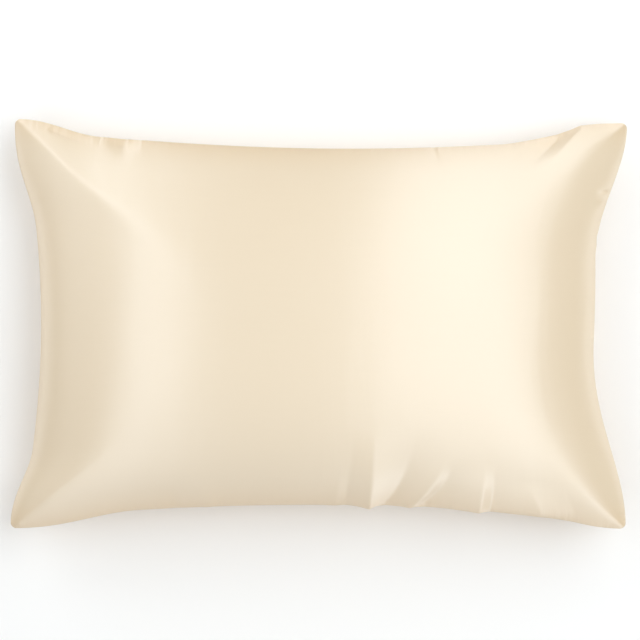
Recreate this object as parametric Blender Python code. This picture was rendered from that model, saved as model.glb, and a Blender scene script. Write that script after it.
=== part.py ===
"""A satin pillowcase with a pillow in it, lying on its back on a flat surface.

The case is cut from one cloth, sewn along its edges and turned, so it has no piping: the front and
the back meet in a narrow rim. The pillow swells both faces and draws the four sides in, and the
corners stay out as flat ears with a ridge running in from each tip. It is one filled solid.

Units are metres. +X runs along the long side, +Y along the short side and +Z up, away from the
surface. The origin is on that surface, under the middle of the case's bounding box.
"""

import math
from collections import namedtuple

import bmesh
import bpy
from mathutils import Vector

# The case as cut and sewn, before it is filled, and the share of its edges that the puckers take up.
SEWN_WIDTH = 0.762
SEWN_HEIGHT = 0.508
PUCKERED_SHARE = 0.025
SPAN_X = SEWN_WIDTH * (1 - PUCKERED_SHARE)
SPAN_Y = SEWN_HEIGHT * (1 - PUCKERED_SHARE)

# The filled form, measured from the seam up to the crown and down to the surface.
CROWN = 0.092
SEAM_HEIGHT = 0.084
BELLY = 0.118  # how far the back would hang below the seam with nothing under it
FLOOR_BLEND = 0.018  # height over which the back rolls from its flat spot into its side
LIFT_OFF = 0.0006  # cloth that would hang less than this above the surface lies on it

# The sewn edge: two cloths with their turnings inside make a narrow rim.
RIM_WIDTH = 0.002
RIM_THICKNESS = 0.003
CORNER_RADIUS = 0.007

# How a face swells across the case: a higher fullness is flatter in the middle, and a lower
# roundness is steeper at the sewn edge. In the ears two nearly flat slopes rise alike from both
# sewn edges and meet in a ridge, which is crisp at the tip and softens as the face rises.
FULLNESS_X = 2.2
FULLNESS_Y = 3.0
ROUNDNESS_X = 0.58
ROUNDNESS_Y = 0.50
EAR_REACH = 0.245
EAR_FULLNESS = 2.0
EAR_ROUNDNESS = 0.88
RIDGE_BLEND = 0.03

# Faces across and up each panel, closer together where the folds are. Places run from -1 to 1.
Band = namedtuple("Band", "start end faces")
COLUMNS = (
    Band(-1.00, -0.72, 14),
    Band(-0.72, 0.02, 15),
    Band(0.02, 0.48, 24),
    Band(0.48, 0.66, 5),
    Band(0.66, 1.00, 17),
)
ROWS = (
    Band(-1.00, -0.66, 12),
    Band(-0.66, 0.60, 12),
    Band(0.60, 1.00, 13),
)

SATIN_COLOUR = (0.86, 0.76, 0.61, 1.0)
SATIN_ROUGHNESS = 0.35

# How far each side is drawn in, and the share of the side that each of its ears takes. The first ear
# is at the side's left or bottom end, the second at its right or top end. Bow is the share of the
# draw-in that grows on to the middle, and lean deepens it towards the second ear.
Side = namedtuple("Side", "draw_in first_ear second_ear bow lean")
LEFT = Side(0.0371, 0.196, 0.271, 0.70, -0.13)
RIGHT = Side(0.0409, 0.461, 0.339, -0.30, -0.39)
BOTTOM = Side(0.0296, 0.210, 0.148, 0.67, -0.11)
TOP = Side(0.0354, 0.139, 0.211, 0.59, 0.10)

# Each ear's tip, as offsets from the corner of the whole span, and how far it droops below the seam.
# Ridge is how much of the ear has flat slopes, a lower reach carries them further in, and softening
# rounds the ridge off as the face rises.
Corner = namedtuple("Corner", "side_x side_y inset_x inset_y droop ridge reach softening")
CORNERS = (
    Corner(-1, +1, 0.0008, -0.0019, 0.042, 1.00, 2.2, 0.14),
    Corner(+1, +1, -0.0018, 0.0039, 0.036, 0.90, 3.0, 0.40),
    Corner(-1, -1, -0.0022, 0.0008, 0.022, 0.90, 2.4, 0.35),
    Corner(+1, -1, 0.0021, 0.0005, 0.018, 0.85, 3.0, 0.40),
)

# The folds that show from a step away. Each starts at the sewn edge or in an ear and has died out at
# its other end, both measured from the middle of the case, and its two flanks can differ in width.
# A hollow has a negative height.
Fold = namedtuple("Fold", "name from_x from_y to_x to_y left_width right_width height")
FOLDS = (
    Fold("top right trough", 0.306, 0.236, 0.266, 0.189, 0.010, 0.010, -0.0060),
    Fold("top right ridge", 0.340, 0.236, 0.290, 0.181, 0.011, 0.009, 0.0045),
    Fold("hollow before it", 0.046, -0.219, 0.038, -0.172, 0.014, 0.009, -0.0035),
    Fold("wide pucker", 0.064, -0.219, 0.082, -0.140, 0.009, 0.020, 0.0050),
    Fold("hollow after it", 0.104, -0.219, 0.124, -0.170, 0.011, 0.010, -0.0045),
    Fold("slanted pucker", 0.127, -0.219, 0.154, -0.180, 0.008, 0.010, 0.0042),
    Fold("second hollow", 0.165, -0.220, 0.177, -0.185, 0.010, 0.012, -0.0025),
    Fold("short pucker", 0.198, -0.222, 0.204, -0.186, 0.007, 0.009, 0.0035),
    Fold("hollow by the ear", 0.265, -0.225, 0.250, -0.188, 0.016, 0.016, -0.0035),
)
SEAM_GIVES = 0.2  # share of a fold's height that the sewn edge itself follows
FOLD_DEPTH = 0.012  # a fold has its full height where the face stands this far off the seam
BACK_FOLDS = 0.5  # share of a front fold's height that the back shows behind the same stitches


def rise(share):
    """From 0 at an ear's tip to 1 where the ear ends, level at both ends."""
    return math.sin(math.pi / 2 * min(max(share, 0.0), 1.0)) ** 2


def drawn_in(side, along):
    """How far a side lies inside the line between its corners, at a share along it."""
    ears = rise(along / side.first_ear) * rise((1 - along) / side.second_ear)
    middle = 1 - side.bow + side.bow * math.sin(math.pi * along) + side.lean * (along - 0.5)
    return side.draw_in * ears * middle


def corner_share(corner, u, v):
    """How much a point of the cloth belongs to a corner; the four shares add up to 1."""
    return (1 + corner.side_x * u) * (1 + corner.side_y * v) / 4


def rounded_corner(u, v):
    """Rounds the cloth's square tips: u and v run from -1 to 1 across the sewn case."""
    radius_u, radius_v = 2 * CORNER_RADIUS / SPAN_X, 2 * CORNER_RADIUS / SPAN_Y
    into_u = max(0.0, (abs(u) - 1) / radius_u + 1)
    into_v = max(0.0, (abs(v) - 1) / radius_v + 1)
    pull_u = into_u * (1 - math.sqrt(1 - into_v**2 / 2)) * radius_u
    pull_v = into_v * (1 - math.sqrt(1 - into_u**2 / 2)) * radius_v
    return u - math.copysign(pull_u, u), v - math.copysign(pull_v, v)


def plan(u, v):
    """Where a point of the cloth lies, seen from above."""
    u, v = rounded_corner(u, v)
    x = y = 0.0
    for corner in CORNERS:
        share = corner_share(corner, u, v)
        x += share * corner.side_x * (SPAN_X / 2 - corner.inset_x)
        y += share * corner.side_y * (SPAN_Y / 2 - corner.inset_y)
    across, up = (1 + u) / 2, (1 + v) / 2
    x += drawn_in(LEFT, up) * (1 - across) - drawn_in(RIGHT, up) * across
    y += drawn_in(BOTTOM, across) * (1 - up) - drawn_in(TOP, across) * up
    return x, y


def smooth_least(a, b, blend):
    """The lesser of two numbers, rounded off where they come within blend of each other."""
    near = max(blend - abs(a - b), 0.0) / blend
    return min(a, b) - near**2 * blend / 4


def ear_slope(inside):
    """The share of the full height at a distance inside a sewn edge, where the ears lie."""
    return (1 - (1 - min(max(inside / EAR_REACH, 0.0), 1.0)) ** EAR_FULLNESS) ** EAR_ROUNDNESS


def swell(u, v):
    """The share of the full height that a face reaches: 0 on the rim, 1 in the middle."""
    slope_x = 1 - min(1.0, abs(u) / (1 - 2 * RIM_WIDTH / SPAN_X)) ** FULLNESS_X
    slope_y = 1 - min(1.0, abs(v) / (1 - 2 * RIM_WIDTH / SPAN_Y)) ** FULLNESS_Y
    pillowed = slope_x**ROUNDNESS_X * slope_y**ROUNDNESS_Y
    hip_x = ear_slope(SPAN_X / 2 * (1 - abs(u)) - RIM_WIDTH)
    hip_y = ear_slope(SPAN_Y / 2 * (1 - abs(v)) - RIM_WIDTH)
    ear = hips = 0.0
    for corner in CORNERS:
        weight = corner_share(corner, u, v) ** corner.reach * corner.ridge
        blend = RIDGE_BLEND + corner.softening * max(hip_x, hip_y)
        hips += weight * max(smooth_least(hip_x, hip_y, blend), 0.0)
        ear += weight
    return (1 - ear) * pillowed + hips


def seam_height(u, v):
    """Height of the seam's surface, which sinks towards the tip of each ear."""
    return SEAM_HEIGHT - sum(corner_share(c, u, v) ** 3 * c.droop for c in CORNERS)


def fold_height(x, y, free):
    """How far the folds push the cloth out at a point in plan, or draw it in."""
    total = 0.0
    for fold in FOLDS:
        run_x, run_y = fold.to_x - fold.from_x, fold.to_y - fold.from_y
        off_x, off_y = x - fold.from_x, y - fold.from_y
        along = (off_x * run_x + off_y * run_y) / (run_x**2 + run_y**2)
        along = min(max(along, 0.0), 1.0)
        gap = math.hypot(off_x - along * run_x, off_y - along * run_y)
        on_left = run_x * off_y - run_y * off_x > 0
        width = (fold.left_width if on_left else fold.right_width) * (0.7 + 0.9 * along)
        dying = (1 - along) ** 2 * (1 + 2 * along)
        total += fold.height * dying * math.exp(-((gap / width) ** 2))
    return total * (SEAM_GIVES + (1 - SEAM_GIVES) * free)


def on_floor(height):
    """Stops the back at the surface it lies on, rolling into its side over FLOOR_BLEND."""
    if height <= -FLOOR_BLEND:
        return 0.0
    if height >= FLOOR_BLEND:
        return height
    lifted = (height + FLOOR_BLEND) ** 2 / (4 * FLOOR_BLEND)
    return lifted if lifted > LIFT_OFF else 0.0


def cloth_point(u, v, front):
    """A point of the front or the back face, before its folds."""
    x, y = plan(u, v)
    seam = seam_height(u, v)
    off_seam = RIM_THICKNESS / 2 + (CROWN if front else BELLY) * swell(u, v)
    return Vector((x, y, seam + off_seam if front else on_floor(seam - off_seam)))


def folded(point, normal, u, v, front):
    """The same point once its folds have pushed it out along the cloth's normal."""
    free = min(1.0, CROWN * swell(u, v) / FOLD_DEPTH)
    push = fold_height(point.x, point.y, free) * (1 if front else BACK_FOLDS)
    moved = point + push * normal
    moved.z = max(moved.z, 0.0)
    return moved


def places(bands):
    """The places of a grid's lines along one side, band after band."""
    lines = [bands[0].start]
    for band in bands:
        step = (band.end - band.start) / band.faces
        lines += [band.start + step * (i + 1) for i in range(band.faces)]
    return lines


def make_panel(bm):
    """A flat panel from -1 to 1, split so that the diagonals run towards the nearest corner."""
    across, up = places(COLUMNS), places(ROWS)
    bmesh.ops.create_grid(bm, x_segments=len(across) - 1, y_segments=len(up) - 1, size=1.0)
    for point in bm.verts:
        column = round((point.co.x + 1) / 2 * (len(across) - 1))
        row = round((point.co.y + 1) / 2 * (len(up) - 1))
        point.co = (across[column], up[row], 0.0)
    rising, falling = [], []
    for face in bm.faces:
        middle = face.calc_center_median()
        (rising if middle.x * middle.y > 0 else falling).append(face)
    bmesh.ops.triangulate(bm, faces=rising, quad_method="FIXED")
    bmesh.ops.triangulate(bm, faces=falling, quad_method="ALTERNATE")


def make_case():
    """The panel extruded to a closed sack, filled out to the case's form and centred."""
    bm = bmesh.new()
    make_panel(bm)
    back = bmesh.ops.extrude_face_region(bm, geom=bm.faces[:])["geom"]
    back_points = {v for v in back if isinstance(v, bmesh.types.BMVert)}
    cut = {point: (point.co.x, point.co.y, point not in back_points) for point in bm.verts}
    for point in bm.verts:
        point.co = cloth_point(*cut[point])
    bmesh.ops.recalc_face_normals(bm, faces=bm.faces)
    bm.normal_update()
    for point in bm.verts:
        point.co = folded(point.co, point.normal, *cut[point])
    xs, ys = [point.co.x for point in bm.verts], [point.co.y for point in bm.verts]
    middle = Vector(((min(xs) + max(xs)) / 2, (min(ys) + max(ys)) / 2, 0.0))
    bmesh.ops.translate(bm, verts=bm.verts, vec=-middle)
    mesh = bpy.data.meshes.new("pillowcase")
    bm.to_mesh(mesh)
    bm.free()
    return bpy.data.objects.new("pillowcase", mesh)


def satin():
    material = bpy.data.materials.new("ivory satin")
    material.use_nodes = True
    shader = material.node_tree.nodes["Principled BSDF"]
    shader.inputs["Base Color"].default_value = SATIN_COLOUR
    shader.inputs["Roughness"].default_value = SATIN_ROUGHNESS
    shader.inputs["Metallic"].default_value = 0.0
    return material


for old in list(bpy.data.objects):
    bpy.data.objects.remove(old)
collection = bpy.data.collections.new("pillowcase")
bpy.context.scene.collection.children.link(collection)
case = make_case()
case.data.materials.append(satin())
case.data.shade_smooth()
collection.objects.link(case)
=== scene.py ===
import math
from collections import namedtuple

import bmesh
import bpy
from mathutils import Matrix, Vector


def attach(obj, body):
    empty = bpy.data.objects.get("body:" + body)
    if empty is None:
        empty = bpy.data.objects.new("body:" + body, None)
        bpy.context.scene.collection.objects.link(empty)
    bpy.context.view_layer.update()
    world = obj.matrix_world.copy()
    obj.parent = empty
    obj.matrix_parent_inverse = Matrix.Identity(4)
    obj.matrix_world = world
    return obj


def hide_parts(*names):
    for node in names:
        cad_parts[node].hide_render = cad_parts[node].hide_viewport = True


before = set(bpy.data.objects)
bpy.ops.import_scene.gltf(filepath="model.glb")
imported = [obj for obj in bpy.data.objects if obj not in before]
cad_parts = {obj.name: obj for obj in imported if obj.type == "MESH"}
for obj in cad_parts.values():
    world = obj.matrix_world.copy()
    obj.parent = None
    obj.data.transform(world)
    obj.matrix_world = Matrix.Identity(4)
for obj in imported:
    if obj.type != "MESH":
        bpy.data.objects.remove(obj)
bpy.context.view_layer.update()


# The pillowcase: one piece of ivory satin, folded at its left end, sewn along its long sides and
# its right end, and turned. The pillow inside swells both faces and draws the four sides in, the
# corners stay out as flat ears, and the stitches gather the cloth in puckers along the seams.
SEWN_WIDTH = 0.762
SEWN_HEIGHT = 0.508
PUCKERED_SHARE = 0.025
SPAN_X = SEWN_WIDTH * (1 - PUCKERED_SHARE)
SPAN_Y = SEWN_HEIGHT * (1 - PUCKERED_SHARE)

# The filled form, measured from the seam up to the crown and down to the floor.
CROWN = 0.092
SEAM_HEIGHT = 0.084
BELLY = 0.118  # how far the back would hang below the seam with nothing under it
FLOOR_BLEND = 0.018  # height over which the back rolls from its flat spot into its side
DROOP_FALL = 3  # a higher fall keeps an ear's droop nearer its tip

# The sewn edge: two cloths with their turnings inside.
RIM_WIDTH = 0.0008
RIM_THICKNESS = 0.0016
CORNER_RADIUS = 0.007

# A higher fullness makes a face flatter in the middle, and a lower roundness makes it steeper at
# the sewn edge. In each ear a slope rises from both of its sewn edges, and they meet in a ridge.
FULLNESS_X = 2.2
FULLNESS_Y = 3.0
ROUNDNESS_X = 0.58
ROUNDNESS_Y = 0.50
EAR_REACH = 0.245
EAR_FULLNESS = 2.0
EAR_ROUNDNESS = 0.88
RIDGE_BLEND = 0.02

# Faces across and up each panel, closer together where the creases are. A place runs from -1 to 1.
Band = namedtuple("Band", "start end faces")
COLUMNS = (
    Band(-1.00, -0.72, 44),
    Band(-0.72, 0.02, 50),
    Band(0.02, 0.66, 96),
    Band(0.66, 1.00, 52),
)
ROWS = (
    Band(-1.00, -0.66, 46),
    Band(-0.66, 0.60, 60),
    Band(0.60, 1.00, 54),
)

# How far each side is drawn in, and the share of the side that each of its ears takes. Bow is the
# share of the draw-in that grows on to the middle, and lean deepens it towards the second ear.
Side = namedtuple("Side", "draw_in first_ear second_ear bow lean")
LEFT = Side(0.0371, 0.196, 0.271, 0.70, -0.13)
RIGHT = Side(0.0409, 0.461, 0.339, -0.30, -0.39)
BOTTOM = Side(0.0296, 0.210, 0.148, 0.67, -0.11)
TOP = Side(0.0354, 0.139, 0.211, 0.59, 0.10)

# The ears: how far each tip lies inside the sewn corner and droops, how much of its ridge stands,
# how near the tip that stays and how fast it softens. A lower flank widens the short side's slope.
Corner = namedtuple("Corner", "side_x side_y inset_x inset_y droop ridge reach softening flank")
CORNERS = (
    Corner(-1, +1, 0.0008, -0.0019, 0.042, 1.00, 2.2, 0.06, 0.79),
    Corner(+1, +1, -0.0018, 0.0039, 0.036, 0.95, 5.5, 0.20, 0.74),
    Corner(-1, -1, -0.0022, 0.0008, 0.022, 0.85, 2.6, 0.70, 0.88),
    Corner(+1, -1, 0.0021, 0.0005, 0.018, 0.85, 3.0, 0.40, 0.84),
)

# Single folds, each from its foot on a seam to where it dies out. It has a width on each side of
# its run, and at_seam is the share of its height that the seam itself takes.
Fold = namedtuple("Fold", "name from_x from_y to_x to_y left_width right_width height at_seam")
FOLDS = (
    Fold("tuck under the top left edge", -0.323, 0.236, -0.268, 0.216, 0.005, 0.005, -0.0035, 0.2),
    Fold("second edge trough", -0.237, 0.222, -0.214, 0.206, 0.016, 0.016, -0.0036, 0.2),
    Fold("left crease", -0.135, -0.218, -0.133, -0.172, 0.011, 0.009, 0.0022, 0.2),
    Fold("hollow beside it", -0.173, -0.216, -0.170, -0.184, 0.014, 0.012, -0.0025, 0.2),
    Fold("stitched pucker", 0.137, 0.212, 0.142, 0.180, 0.0025, 0.0025, -0.0012, 0.9),
    Fold("first gather", 0.346, 0.160, 0.330, 0.156, 0.0028, 0.0028, -0.0030, 0.9),
    Fold("second gather", 0.342, 0.147, 0.328, 0.144, 0.0030, 0.0040, 0.0020, 0.7),
    Fold("third gather", 0.338, 0.106, 0.324, 0.105, 0.0030, 0.0030, -0.0016, 0.9),
    Fold("fourth gather", 0.336, 0.092, 0.322, 0.091, 0.0030, 0.0045, 0.0016, 0.7),
)
FOOT_WIDTH = 0.7  # a fold's width at its foot, as a share of the width given for it
ADDED_WIDTH = 0.9  # what it gains from there to its end

# Rows of crests and hollows, in order from the left, each from its foot on a seam to its head in
# the open cloth. The cloth runs flat from each to the next, and a bend of 1 curves a crease most.
Crease = namedtuple("Crease", "name foot_x foot_y head_x head_y bend height")
BOTTOM_CREASES = (
    Crease("start", 0.002, -0.219, 0.008, -0.175, 0.0, 0.0),
    Crease("first crest", 0.018, -0.219, 0.025, -0.175, 0.0, 0.0012),
    Crease("first hollow", 0.030, -0.219, 0.038, -0.160, 0.0, -0.0016),
    Crease("pleat's crest", 0.0594, -0.219, 0.0660, -0.115, 0.0, 0.0068),
    Crease("pleat's hollow", 0.080, -0.219, 0.113, -0.115, 1.0, -0.0060),
    Crease("slanted crest", 0.108, -0.219, 0.148, -0.160, 0.6, 0.0030),
    Crease("slanted hollow", 0.126, -0.219, 0.158, -0.158, 0.9, -0.0058),
    Crease("spike's crest", 0.191, -0.220, 0.195, -0.163, 0.0, 0.0066),
    Crease("spike's hollow", 0.205, -0.221, 0.207, -0.163, 0.0, 0.0004),
    Crease("last crest", 0.266, -0.225, 0.244, -0.186, 0.0, 0.0060),
    Crease("end", 0.305, -0.225, 0.290, -0.190, 0.0, 0.0),
)
EAR_CREASES = (
    Crease("start", 0.254, 0.228, 0.216, 0.184, 0.0, 0.0),
    Crease("ear's hollow", 0.288, 0.232, 0.245, 0.180, 0.0, -0.0082),
    Crease("ear's crest", 0.316, 0.232, 0.261, 0.180, 0.0, 0.0050),
    Crease("end", 0.354, 0.232, 0.298, 0.184, 0.0, 0.0),
)
FAR_LEFT = -1.0  # a place off the case, where a row's flat cloth starts
CREASES_AT_SEAM = 0.45  # share of a crease's height that the seam itself takes
FREE_HEIGHT = 0.012  # height above the seam where folds reach their full height
BACK_FOLDS = 0.5  # depth of the back's folds, as a share of the front's


def rise(share):
    """From 0 at an ear's tip to 1 where the ear ends, level at both ends."""
    return math.sin(math.pi / 2 * min(max(share, 0.0), 1.0)) ** 2


def drawn_in(side, along):
    """How far a side lies inside the line between its corners, at a share along it."""
    ears = rise(along / side.first_ear) * rise((1 - along) / side.second_ear)
    middle = 1 - side.bow + side.bow * math.sin(math.pi * along) + side.lean * (along - 0.5)
    return side.draw_in * ears * middle


def corner_share(corner, u, v):
    """How much a point of the cloth belongs to a corner; the four shares add up to 1."""
    return (1 + corner.side_x * u) * (1 + corner.side_y * v) / 4


def rounded_corner(u, v):
    """Rounds the cloth's square tips: u and v run from -1 to 1 across the sewn case."""
    radius_u, radius_v = 2 * CORNER_RADIUS / SPAN_X, 2 * CORNER_RADIUS / SPAN_Y
    into_u = max(0.0, (abs(u) - 1) / radius_u + 1)
    into_v = max(0.0, (abs(v) - 1) / radius_v + 1)
    pull_u = into_u * (1 - math.sqrt(1 - into_v**2 / 2)) * radius_u
    pull_v = into_v * (1 - math.sqrt(1 - into_u**2 / 2)) * radius_v
    return u - math.copysign(pull_u, u), v - math.copysign(pull_v, v)


def plan(u, v):
    """Where a point of the cloth lies, seen from above."""
    u, v = rounded_corner(u, v)
    x = y = 0.0
    for corner in CORNERS:
        share = corner_share(corner, u, v)
        x += share * corner.side_x * (SPAN_X / 2 - corner.inset_x)
        y += share * corner.side_y * (SPAN_Y / 2 - corner.inset_y)
    across, up = (1 + u) / 2, (1 + v) / 2
    x += drawn_in(LEFT, up) * (1 - across) - drawn_in(RIGHT, up) * across
    y += drawn_in(BOTTOM, across) * (1 - up) - drawn_in(TOP, across) * up
    return x, y


def smooth_least(a, b, blend):
    """The lesser of two numbers, rounded off where they come within blend of each other."""
    near = max(blend - abs(a - b), 0.0) / blend
    return min(a, b) - near**2 * blend / 4


def ear_slope(inside):
    """The share of the full height at a distance inside a sewn edge, where the ears lie."""
    return (1 - (1 - min(max(inside / EAR_REACH, 0.0), 1.0)) ** EAR_FULLNESS) ** EAR_ROUNDNESS


def swell(u, v):
    """The share of the full height that a face reaches: 0 on the rim, 1 in the middle."""
    slope_x = 1 - min(1.0, abs(u) / (1 - 2 * RIM_WIDTH / SPAN_X)) ** FULLNESS_X
    slope_y = 1 - min(1.0, abs(v) / (1 - 2 * RIM_WIDTH / SPAN_Y)) ** FULLNESS_Y
    pillowed = slope_x**ROUNDNESS_X * slope_y**ROUNDNESS_Y
    inside_x = SPAN_X / 2 * (1 - abs(u)) - RIM_WIDTH
    hip_y = ear_slope(SPAN_Y / 2 * (1 - abs(v)) - RIM_WIDTH)
    ear = hips = 0.0
    for corner in CORNERS:
        weight = corner_share(corner, u, v) ** corner.reach * corner.ridge
        hip_x = ear_slope(inside_x * corner.flank)
        blend = RIDGE_BLEND + corner.softening * max(hip_x, hip_y)
        hips += weight * max(smooth_least(hip_x, hip_y, blend), 0.0)
        ear += weight
    return (1 - ear) * pillowed + hips


def seam_height(u, v):
    """Height of the seam's surface, which sinks towards the tip of each ear."""
    return SEAM_HEIGHT - sum(corner_share(c, u, v) ** DROOP_FALL * c.droop for c in CORNERS)


def fold_height(x, y, free):
    """How far the folds push the cloth out at a point in plan, or draw it in."""
    total = 0.0
    for fold in FOLDS:
        run_x, run_y = fold.to_x - fold.from_x, fold.to_y - fold.from_y
        off_x, off_y = x - fold.from_x, y - fold.from_y
        along = (off_x * run_x + off_y * run_y) / (run_x**2 + run_y**2)
        along = min(max(along, 0.0), 1.0)
        gap = math.hypot(off_x - along * run_x, off_y - along * run_y)
        on_left = run_x * off_y - run_y * off_x > 0
        width = fold.left_width if on_left else fold.right_width
        width *= FOOT_WIDTH + ADDED_WIDTH * along
        dying = (1 - along) ** 2 * (1 + along)
        given = fold.at_seam + (1 - fold.at_seam) * free
        total += fold.height * dying * given * math.exp(-((gap / width) ** 2))
    return total


def crease_height(creases, x, y):
    """How far a row of crests and hollows pushes the cloth out, flat from each to the next."""
    last_place, last_height = FAR_LEFT, 0.0
    for crease in creases:
        share = (y - crease.foot_y) / (crease.head_y - crease.foot_y)
        share = min(max(share, 0.0), 1.0)
        run = share * (1 + crease.bend * (1 - share))
        place = crease.foot_x + (crease.head_x - crease.foot_x) * run
        height = crease.height * (1 - share**2) ** 2
        if x < place:
            return last_height + (height - last_height) * (x - last_place) / (place - last_place)
        last_place, last_height = place, height
    return 0.0


def on_floor(height):
    """Stops the back at the surface it lies on, rolling into its side over FLOOR_BLEND."""
    if height <= -FLOOR_BLEND:
        return 0.0
    if height >= FLOOR_BLEND:
        return height
    return (height + FLOOR_BLEND) ** 2 / (4 * FLOOR_BLEND)


def cloth_point(u, v, front):
    """A point of the front or the back face, before its folds."""
    x, y = plan(u, v)
    seam = seam_height(u, v)
    off_seam = RIM_THICKNESS / 2 + (CROWN if front else BELLY) * swell(u, v)
    return Vector((x, y, seam + off_seam if front else on_floor(seam - off_seam)))


def folded(point, normal, u, v, front):
    """The same point once its folds have pushed it out along the cloth's normal."""
    free = min(1.0, CROWN * swell(u, v) / FREE_HEIGHT)
    push = fold_height(point.x, point.y, free)
    creased = crease_height(BOTTOM_CREASES, point.x, point.y)
    creased += crease_height(EAR_CREASES, point.x, point.y)
    push += creased * (CREASES_AT_SEAM + (1 - CREASES_AT_SEAM) * free)
    moved = point + push * (1 if front else BACK_FOLDS) * normal
    moved.z = max(moved.z, 0.0)
    return moved


def places(bands):
    """The places of a grid's lines along one side, band after band."""
    lines = [bands[0].start]
    for band in bands:
        step = (band.end - band.start) / band.faces
        lines += [band.start + step * (i + 1) for i in range(band.faces)]
    return lines


bm = bmesh.new()
across, up = places(COLUMNS), places(ROWS)
bmesh.ops.create_grid(bm, x_segments=len(across) - 1, y_segments=len(up) - 1, size=1.0)
for point in bm.verts:
    column = round((point.co.x + 1) / 2 * (len(across) - 1))
    row = round((point.co.y + 1) / 2 * (len(up) - 1))
    point.co = (across[column], up[row], 0.0)
back = bmesh.ops.extrude_face_region(bm, geom=bm.faces[:])["geom"]
back_points = {v for v in back if isinstance(v, bmesh.types.BMVert)}
cloth = bm.loops.layers.uv.new("cloth")
for face in bm.faces:
    for loop in face.loops:
        u, v = loop.vert.co.x, loop.vert.co.y
        loop[cloth].uv = (u * SEWN_WIDTH / 2, v * SEWN_HEIGHT / 2)
cut = {point: (point.co.x, point.co.y, point not in back_points) for point in bm.verts}
for point in bm.verts:
    point.co = cloth_point(*cut[point])
bmesh.ops.recalc_face_normals(bm, faces=bm.faces)
bm.normal_update()
for point in bm.verts:
    point.co = folded(point.co, point.normal, *cut[point])
xs, ys = [point.co.x for point in bm.verts], [point.co.y for point in bm.verts]
middle = Vector(((min(xs) + max(xs)) / 2, (min(ys) + max(ys)) / 2, 0.0))
bmesh.ops.translate(bm, verts=bm.verts, vec=-middle)
mesh = bpy.data.meshes.new("satin_pillowcase")
bm.to_mesh(mesh)
bm.free()
mesh.shade_smooth()
pillowcase = bpy.data.objects.new("satin_pillowcase", mesh)
bpy.context.scene.collection.objects.link(pillowcase)


class Socket:
    """An output of a shader node, so that arithmetic on it adds the Math nodes."""

    def __init__(self, tree, output):
        self.tree = tree
        self.output = output

    def math(self, operation, *values):
        """Adds a Math node that works on the values, which are sockets or numbers."""
        node = self.tree.nodes.new("ShaderNodeMath")
        node.operation = operation
        for slot, value in zip(node.inputs, values):
            if isinstance(value, Socket):
                self.tree.links.new(value.output, slot)
            else:
                slot.default_value = value
        return Socket(self.tree, node.outputs[0])

    def __add__(self, other):
        return self.math("ADD", self, other)

    def __radd__(self, other):
        return self.math("ADD", other, self)

    def __sub__(self, other):
        return self.math("SUBTRACT", self, other)

    def __rsub__(self, other):
        return self.math("SUBTRACT", other, self)

    def __mul__(self, other):
        return self.math("MULTIPLY", self, other)

    def __rmul__(self, other):
        return self.math("MULTIPLY", other, self)


class Nodes:
    """The nodes of a material, or of the room."""

    def __init__(self, owner):
        owner.use_nodes = True
        self.tree = owner.node_tree

    def node(self, kind, settings=None, sockets=None, output=0):
        """Adds a node, with its settings first and then the values or links of its sockets."""
        made = self.tree.nodes.new(kind)
        for name, value in (settings or {}).items():
            setattr(made, name, value)
        self.set(made, sockets or {})
        return Socket(self.tree, made.outputs[output])

    def set(self, node, sockets):
        """Gives each named or numbered socket of a node its value or its link."""
        for name, value in sockets.items():
            if isinstance(value, Socket):
                self.tree.links.new(value.output, node.inputs[name])
            else:
                node.inputs[name].default_value = value


# Ivory satin: filament threads that shine in a narrow band across them and a wide one along them.
# Its base colour is darkened towards the two long seams as painted shade.
IVORY = (0.895, 0.705, 0.475, 1.0)
PALE_IVORY = (0.915, 0.725, 0.495, 1.0)
PAINTED_SHADE_IVORY = (0.875, 0.650, 0.395, 1.0)
PAINTED_SHADE_REACH = 0.048
PUCKER_REACH = 0.022
PUCKER_DEPTH = 0.0018
SLACK_DEPTH = 0.0003
THREAD_DEPTH = 0.0002
THREAD_STRENGTH = 0.10
ROUGHNESS = 0.47
STREAK_ROUGHNESS = 0.06
MIX_FIRST_COLOUR, MIX_SECOND_COLOUR = 6, 7
MIX_COLOUR_OUTPUT = 2

# What varies over the cloth, with so many turns to the metre across it and up it.
Relief = namedtuple("Relief", "turns_across turns_up detail")
STREAKS = Relief(9.0, 420.0, 3.0)
THREADS = Relief(500.0, 3200.0, 1.0)
SLACK = Relief(38.0, 5.0, 2.0)
LONG_SEAM_PUCKERS = Relief(115.0, 9.0, 2.0)
CLOSING_SEAM_PUCKERS = Relief(9.0, 115.0, 2.0)

satin = bpy.data.materials.new("ivory satin")
weave = Nodes(satin)
on_cloth = weave.node("ShaderNodeUVMap", {"uv_map": "cloth"})
to_right = weave.node("ShaderNodeSeparateXYZ", sockets={"Vector": on_cloth}, output=0)
to_top = weave.node("ShaderNodeSeparateXYZ", sockets={"Vector": on_cloth}, output=1)
to_long_side = to_top.math("ABSOLUTE", to_top)


def cloth_noise(relief):
    """Noise from 0 to 1 on the flat cloth."""
    scale = (relief.turns_across, relief.turns_up, 1.0)
    stretched = weave.node("ShaderNodeMapping", sockets={"Vector": on_cloth, "Scale": scale})
    sockets = {"Vector": stretched, "Scale": 1.0, "Detail": relief.detail}
    return weave.node("ShaderNodeTexNoise", sockets=sockets)


def near_seam(place, seam, reach):
    """From 0 at a reach inside a seam to 1 on it, where place is how far out the cloth is."""
    share = 1 - (seam - place) * (1 / reach)
    share = share.math("MAXIMUM", share, 0.0)
    return share * share


def tinted(share, first, second):
    """A colour between two, by a share that varies over the cloth."""
    sockets = {"Factor": share, MIX_FIRST_COLOUR: first, MIX_SECOND_COLOUR: second}
    return weave.node("ShaderNodeMix", {"data_type": "RGBA"}, sockets, MIX_COLOUR_OUTPUT)


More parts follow.
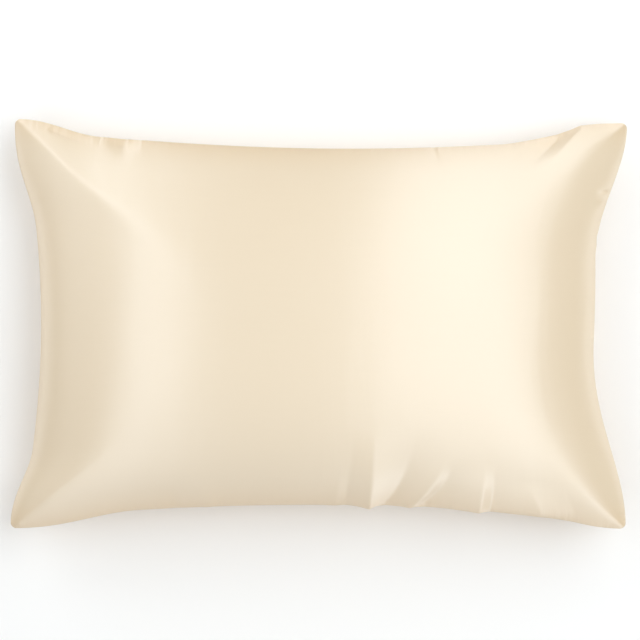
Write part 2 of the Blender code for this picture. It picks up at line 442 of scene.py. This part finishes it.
def raised(height, depth, strength=1.0, over=None):
    """The cloth's normal with a relief on it, over another relief if one is given."""
    sockets = {"Height": height, "Strength": strength, "Distance": depth}
    if over:
        sockets["Normal"] = over
    return weave.node("ShaderNodeBump", sockets=sockets)


streaks = cloth_noise(STREAKS)
streaked = tinted(streaks, IVORY, PALE_IVORY)
# Painted shade: this mask darkens the base colour within 48 mm of each long seam.
painted_seam_shade = near_seam(to_long_side, SEWN_HEIGHT / 2, PAINTED_SHADE_REACH)
along_long_seams = near_seam(to_long_side, SEWN_HEIGHT / 2, PUCKER_REACH)
along_closing_seam = near_seam(to_right, SEWN_WIDTH / 2, PUCKER_REACH)
puckers = (
    cloth_noise(LONG_SEAM_PUCKERS) * along_long_seams
    + cloth_noise(CLOSING_SEAM_PUCKERS) * along_closing_seam
)
slack = raised(cloth_noise(SLACK), SLACK_DEPTH)
puckered = raised(puckers, PUCKER_DEPTH, over=slack)
woven = raised(cloth_noise(THREADS), THREAD_DEPTH, THREAD_STRENGTH, over=puckered)
along_cloth = weave.node("ShaderNodeTangent", {"direction_type": "UV_MAP", "uv_map": "cloth"})
weave.set(
    weave.tree.nodes["Principled BSDF"],
    {
        # The base colour mixes the random streaks with the painted shade towards the long seams.
        "Base Color": tinted(painted_seam_shade, streaked, PAINTED_SHADE_IVORY),
        "Roughness": ROUGHNESS + STREAK_ROUGHNESS * streaks,
        "Normal": woven,
        "Tangent": along_cloth,
        "Anisotropic": 1.0,
        "Anisotropic Rotation": 0.25,
        "Specular IOR Level": 1.0,
        "IOR": 2.12,
    },
)
pillowcase.data.materials.append(satin)
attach(pillowcase, "root")
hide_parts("pillowcase")


# The floor: a round sheet of matt white paper. It lies flat under the case, and reaches nearly as
# far out as the lamps stand.
FLOOR_RADIUS = 1.9
FLOOR_SIDES = 96
PAPER_WHITE = (0.96, 0.92, 0.87, 1.0)
PAPER_ROUGHNESS = 0.9
bm = bmesh.new()
bmesh.ops.create_circle(bm, cap_ends=True, segments=FLOOR_SIDES, radius=FLOOR_RADIUS)
mesh = bpy.data.meshes.new("floor")
bm.to_mesh(mesh)
bm.free()
floor = bpy.data.objects.new("floor", mesh)
bpy.context.scene.collection.objects.link(floor)
paper = bpy.data.materials.new("white paper")
sheet = Nodes(paper)
sheet.set(
    sheet.tree.nodes["Principled BSDF"],
    {"Base Color": PAPER_WHITE, "Roughness": PAPER_ROUGHNESS},
)
floor.data.materials.append(paper)


# The light: softboxes on a dome round the case, in a white room. Broad ones to the right and left
# make the two bright bands, one overhead lights the crown, and low ones in front find the creases.
# Across and up are angles in degrees from straight above the case.
DOME_RADIUS = 2.4
LAMP_COLOUR = (0.88, 0.97, 1.06)
ROOM_COLOUR = (0.97, 0.88, 0.79, 1.0)
ROOM_STRENGTH = 0.23
WHITE = (1.0, 1.0, 1.0, 1.0)
Softbox = namedtuple("Softbox", "name across up width height radiance")
for box in (
    Softbox("right_band", 31, 15, 2.15, 2.10, 2.27),
    Softbox("far_right", 65, 30, 0.42, 1.05, 0.60),
    Softbox("top_right", 24, 56, 1.50, 1.05, 1.55),
    Softbox("left_band_low", -34, -8, 0.95, 2.10, 1.42),
    Softbox("left_band_high", -34, 42, 0.95, 2.10, 1.57),
    Softbox("top_left", -45, 55, 2.10, 1.05, 1.65),
    Softbox("overhead", 5, -12, 2.50, 2.10, 0.95),
    Softbox("front", -10, -57, 1.70, 2.10, 0.50),
    Softbox("front_right", 32, -68, 0.63, 1.05, 3.40),
):
    light = bpy.data.lights.new(box.name, "AREA")
    light.shape = "RECTANGLE"
    light.color = LAMP_COLOUR
    light.size = box.width
    light.size_y = box.height
    light.energy = box.radiance * math.pi * box.width * box.height
    lamp = bpy.data.objects.new(box.name, light)
    lamp.matrix_world = (
        Matrix.Translation((0.0, 0.0, SEAM_HEIGHT))
        @ Matrix.Rotation(-math.radians(box.up), 4, "X")
        @ Matrix.Rotation(math.radians(box.across), 4, "Y")
        @ Matrix.Translation((0.0, 0.0, DOME_RADIUS))
    )
    bpy.context.scene.collection.objects.link(lamp)
room = bpy.data.worlds.new("white room")
walls = Nodes(room)
walls.tree.nodes.remove(walls.tree.nodes["Background"])
glow = walls.node(
    "ShaderNodeBackground", sockets={"Color": ROOM_COLOUR, "Strength": ROOM_STRENGTH}
)
backdrop = walls.node("ShaderNodeBackground", sockets={"Color": WHITE, "Strength": 1.0})
is_camera_ray = walls.node("ShaderNodeLightPath")
both = walls.node("ShaderNodeMixShader", sockets={0: is_camera_ray, 1: glow, 2: backdrop})
walls.set(walls.tree.nodes["World Output"], {"Surface": both})
bpy.context.scene.world = room


# The camera: a long lens straight above the face, so that a pixel of the image is 1.2 mm at the
# height of the seam, and the ears are where the photograph has them.
PIXEL = 0.0012
IMAGE_WIDTH = 640
LENS = 135.0
SENSOR = 36.0
CENTRE_X, CENTRE_Y = 0.0006, 0.0036
camera = bpy.data.objects.new("camera", bpy.data.cameras.new("camera"))
camera.data.lens = LENS
camera.data.sensor_width = SENSOR
distance = IMAGE_WIDTH * PIXEL * LENS / SENSOR
camera.location = (CENTRE_X, CENTRE_Y, SEAM_HEIGHT + distance)
bpy.context.scene.collection.objects.link(camera)
bpy.context.scene.camera = camera
bpy.context.scene.view_settings.view_transform = "Standard"
